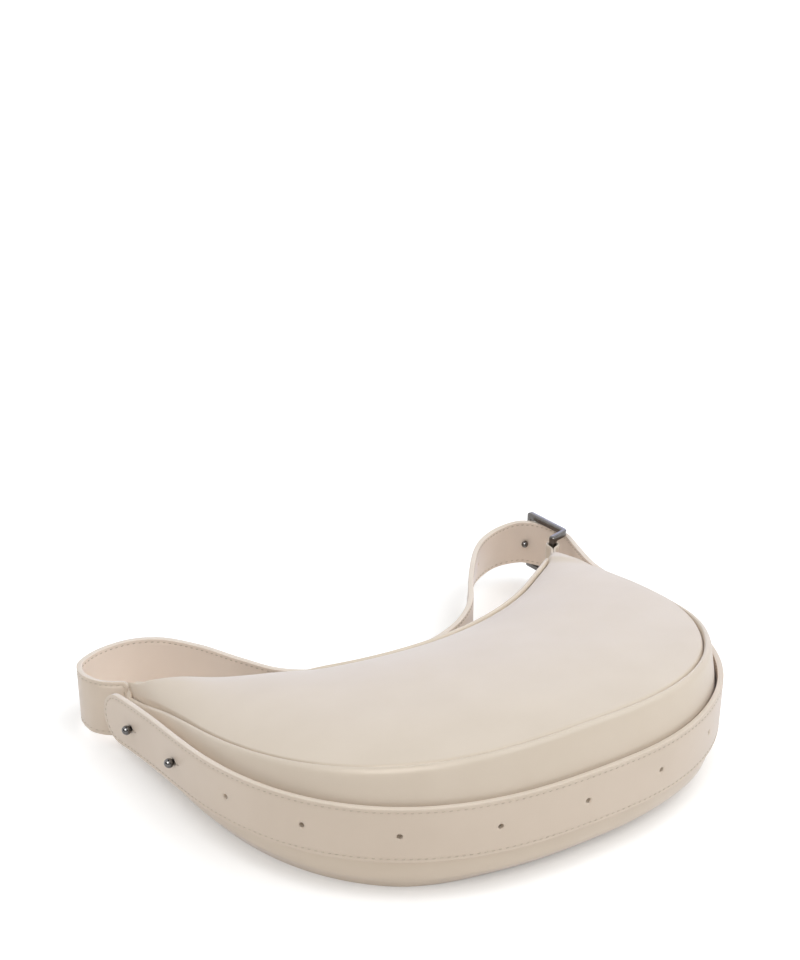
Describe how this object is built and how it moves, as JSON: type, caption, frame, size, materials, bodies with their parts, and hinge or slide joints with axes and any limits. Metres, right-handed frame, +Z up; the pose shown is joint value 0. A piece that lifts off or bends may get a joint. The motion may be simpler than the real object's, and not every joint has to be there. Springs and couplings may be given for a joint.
{
  "type": "crescent shoulder bag",
  "caption": "Crescent leather shoulder bag lying on its back, with a zip mouth and one belt strap that runs through a buckle and wraps the gusset to a studded tail.",
  "frame": {"origin": "on the floor under the middle of the back panel, with the bag lying on its back", "axes": "+X to the bag's right with the buckle, +Y from the convex bottom to the mouth, +Z up through the front panel"},
  "size_m": [0.4158, 0.3609, 0.0925],
  "materials": {
    "leather": "smooth cream leather, low sheen",
    "lining": "woven lining",
    "zip_tape": "woven zip tape",
    "board": "stiffening board",
    "metal": "polished gunmetal"
  },
  "bodies": {
    "bag": {"back_panel": "leather", "buckle_tab": "leather", "front_panel": "leather", "gusset": "leather", "gusset_board": "board", "inner_pocket": "lining", "lining_back": "lining", "lining_front": "lining", "lining_gusset": "lining", "mouth_facing_back": "leather", "mouth_facing_front": "leather", "strap_buckle_run": "leather", "strap_shoulder": "leather", "strap_wrap": "leather", "stud_screw_1": "metal", "stud_screw_2": "metal", "tail_stud_1": "metal", "tail_stud_2": "metal", "zip_end_tab_left": "leather", "zip_end_tab_right": "leather", "zip_stop_left": "metal", "zip_stop_right": "metal", "zip_tape_back": "zip_tape", "zip_tape_front": "zip_tape", "zip_teeth_back": "metal", "zip_teeth_front": "metal"},
    "zip_slider": {"zip_slider": "metal"},
    "zip_pull": {"zip_pull": "metal"},
    "buckle": {"buckle_frame": "metal", "buckle_stud": "metal"},
    "tail": {"strap_tail": "leather"}
  },
  "joints": [
    {"name": "zip_travel", "type": "hinge", "parent": "bag", "child": "zip_slider", "pos_m": [0, 0.316, 0.03], "axis": [0, 0, 1], "range_deg": [0, 90]},
    {"name": "zip_pull_flip", "type": "hinge", "parent": "zip_slider", "child": "zip_pull", "pos_m": [-0.155, 0.161, 0.03], "axis": [0, 0, 1], "range_deg": [0, 170]},
    {"name": "buckle_swing", "type": "hinge", "parent": "bag", "child": "buckle", "pos_m": [0.1945, 0.1913, 0.034], "axis": [0, 0, 1], "range_deg": [-15, 15], "deforming": ["strap_buckle_run"]},
    {"name": "tail_lift", "type": "hinge", "parent": "bag", "child": "tail", "pos_m": [-0.18826, 0.04741, 0.0397], "axis": [0, 0, 1], "range_deg": [0, 40]}
  ]
}
